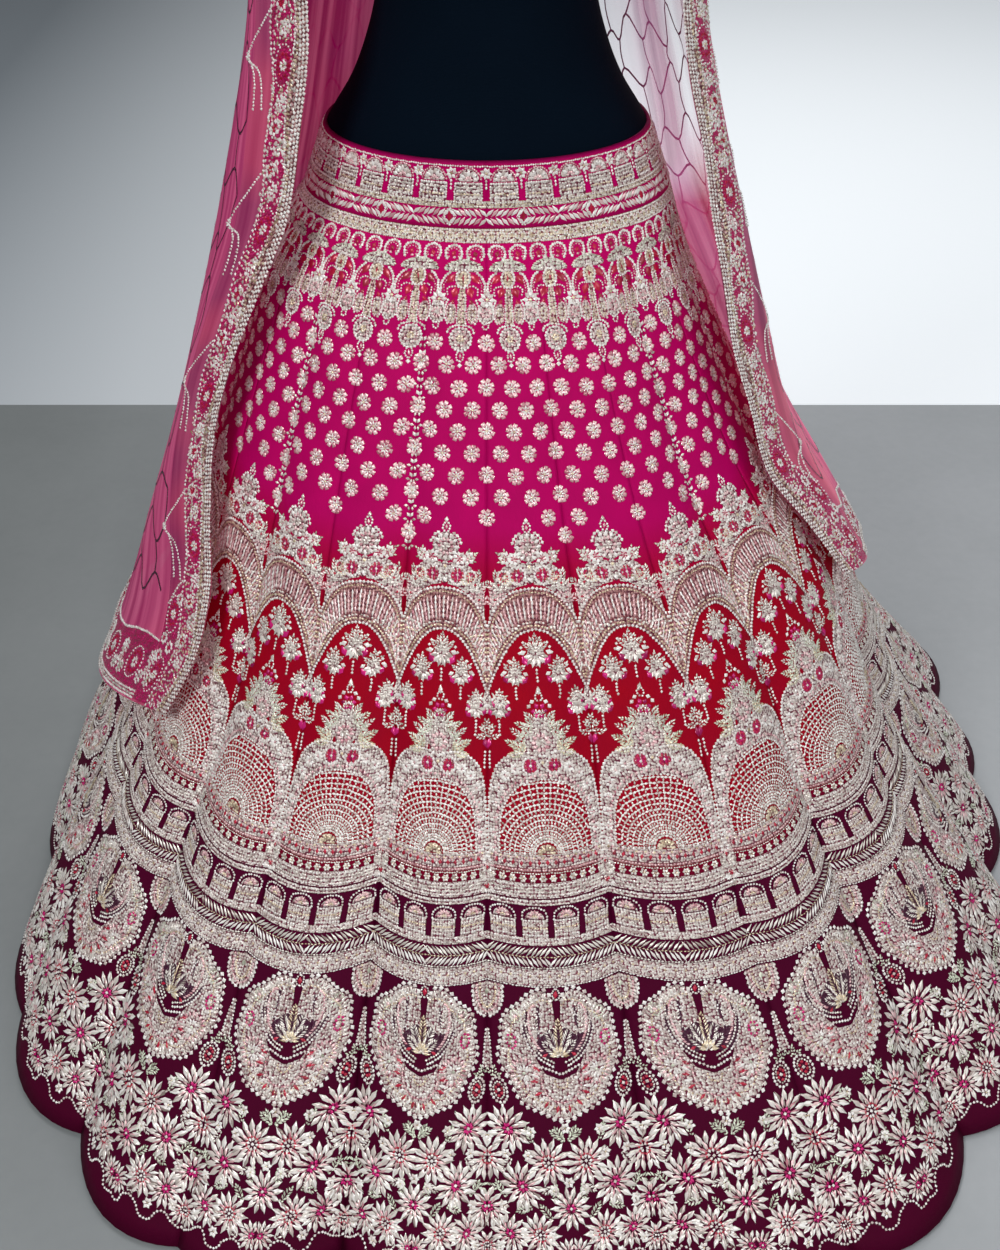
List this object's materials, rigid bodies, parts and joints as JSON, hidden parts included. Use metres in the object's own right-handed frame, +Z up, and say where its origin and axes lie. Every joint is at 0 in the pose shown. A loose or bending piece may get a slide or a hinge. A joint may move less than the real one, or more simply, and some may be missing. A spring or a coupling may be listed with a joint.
{
  "type": "lehenga choli on a dress form",
  "caption": "Flared embroidered lehenga skirt with a cropped choli and a sheer bordered dupatta worn as a cape, displayed on a limbless dress form.",
  "frame": {"origin": "centre of the underside of the form's base, on the floor", "axes": "+Z up; -Y is the front of the garment; +X is the right-hand side of a person who looks at its front"},
  "size_m": [1.266, 1.3262, 1.5],
  "materials": {
    "skirt_cloth": "silk crepe shaded from magenta through red to dark wine, with metallic bead embroidery",
    "waistband_cloth": "magenta silk under dense bead embroidery",
    "bead_embroidery": "silver and pale gold beads, sequins and stones",
    "choli_cloth": "magenta silk with scattered bead flowers",
    "dupatta_net": "sheer magenta net",
    "dupatta_border": "embroidered net border",
    "form_jersey": "matt blue-black jersey",
    "form_metal": "satin grey"
  },
  "bodies": {
    "root": {"form_torso": "form_jersey", "form_pole": "form_metal", "form_base": "form_metal", "lehenga_waistband": "waistband_cloth", "choli_front": "choli_cloth", "choli_back": "choli_cloth", "kali_01": "skirt_cloth", "kali_02": "skirt_cloth", "kali_03": "skirt_cloth", "kali_04": "skirt_cloth", "kali_05": "skirt_cloth", "kali_06": "skirt_cloth", "kali_07": "skirt_cloth", "kali_08": "skirt_cloth", "kali_09": "skirt_cloth", "kali_10": "skirt_cloth", "kali_11": "skirt_cloth", "kali_12": "skirt_cloth", "kali_13": "skirt_cloth", "kali_14": "skirt_cloth", "kali_15": "skirt_cloth", "kali_16": "skirt_cloth", "kali_17": "skirt_cloth", "kali_18": "skirt_cloth", "kali_19": "skirt_cloth", "kali_20": "skirt_cloth", "kali_21": "skirt_cloth", "kali_22": "skirt_cloth", "kali_23": "skirt_cloth", "kali_24": "skirt_cloth", "dupatta_net_left": "dupatta_net", "dupatta_net_back": "dupatta_net", "dupatta_net_right": "dupatta_net", "dupatta_hem_left": "dupatta_border", "dupatta_hem_back": "dupatta_border", "dupatta_hem_right": "dupatta_border", "dupatta_border_left": "dupatta_border", "dupatta_border_right": "dupatta_border"}
  },
  "joints": []
}
